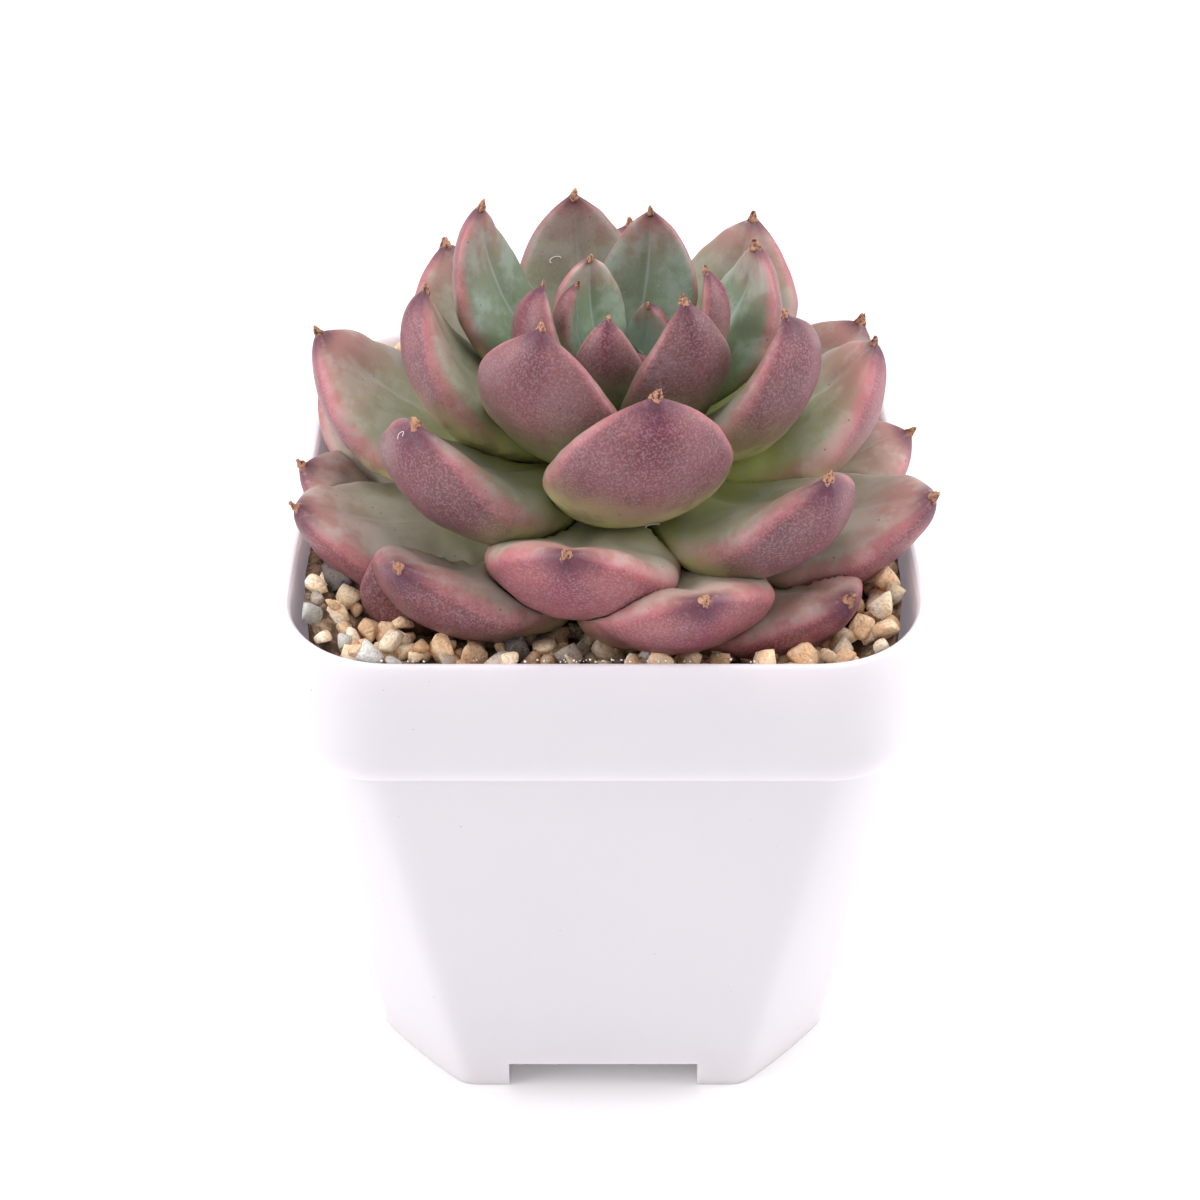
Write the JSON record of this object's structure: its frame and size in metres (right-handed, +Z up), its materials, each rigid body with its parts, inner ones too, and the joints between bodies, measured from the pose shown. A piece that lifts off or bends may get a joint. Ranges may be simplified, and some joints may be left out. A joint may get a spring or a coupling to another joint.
{
  "type": "potted rosette succulent",
  "caption": "Rosette succulent with thick pointed pink-edged leaves in a small square white plastic pot with chamfered lower corners, filled with soil and topped with loose gravel.",
  "frame": {"origin": "middle of the pot's footprint, on the surface that its feet stand on", "axes": "+Z up; the pot's four sides face -X, +X, -Y and +Y, and -Y is the front"},
  "size_m": [0.0725, 0.0704, 0.1061],
  "materials": {
    "pot_plastic": "satin",
    "soil": "matte",
    "gravel": "matte",
    "stem": "matte",
    "leaf_inner": "satin",
    "leaf_middle": "satin",
    "leaf_outer": "satin",
    "stone_tan": "matte",
    "stone_cream": "matte",
    "stone_lava": "matte",
    "stone_grey": "matte",
    "stone_pale": "matte"
  },
  "bodies": {
    "root": {"gravel_dressing": "gravel", "leaf_01": "leaf_inner", "leaf_02": "leaf_inner", "leaf_03": "leaf_inner", "leaf_04": "leaf_inner", "leaf_05": "leaf_inner", "leaf_06": "leaf_inner", "leaf_07": "leaf_inner", "leaf_08": "leaf_inner", "leaf_09": "leaf_inner", "leaf_10": "leaf_inner", "leaf_11": "leaf_inner", "leaf_12": "leaf_inner", "leaf_13": "leaf_middle", "leaf_14": "leaf_middle", "leaf_15": "leaf_middle", "leaf_16": "leaf_middle", "leaf_17": "leaf_middle", "leaf_18": "leaf_middle", "leaf_19": "leaf_middle", "leaf_20": "leaf_middle", "leaf_21": "leaf_middle", "leaf_22": "leaf_middle", "leaf_23": "leaf_middle", "leaf_24": "leaf_middle", "leaf_25": "leaf_outer", "leaf_26": "leaf_outer", "leaf_27": "leaf_outer", "leaf_28": "leaf_outer", "leaf_29": "leaf_outer", "leaf_30": "leaf_outer", "leaf_31": "leaf_outer", "leaf_32": "leaf_outer", "leaf_33": "leaf_outer", "leaf_34": "leaf_outer", "leaf_35": "leaf_outer", "leaf_36": "leaf_outer", "pot": "pot_plastic", "potting_soil": "soil", "stem": "stem", "stone_01_lava": "stone_lava", "stone_02_cream": "stone_cream", "stone_03_tan": "stone_tan", "stone_04_tan": "stone_tan", "stone_05_cream": "stone_cream", "stone_06_tan": "stone_tan", "stone_07_lava": "stone_lava", "stone_08_tan": "stone_tan", "stone_09_grey": "stone_grey", "stone_10_pale": "stone_pale", "stone_11_tan": "stone_tan", "stone_12_tan": "stone_tan", "stone_13_cream": "stone_cream", "stone_14_grey": "stone_grey", "stone_15_tan": "stone_tan", "stone_16_tan": "stone_tan", "stone_17_tan": "stone_tan", "stone_18_cream": "stone_cream", "stone_19_tan": "stone_tan", "stone_20_tan": "stone_tan"}
  },
  "joints": []
}
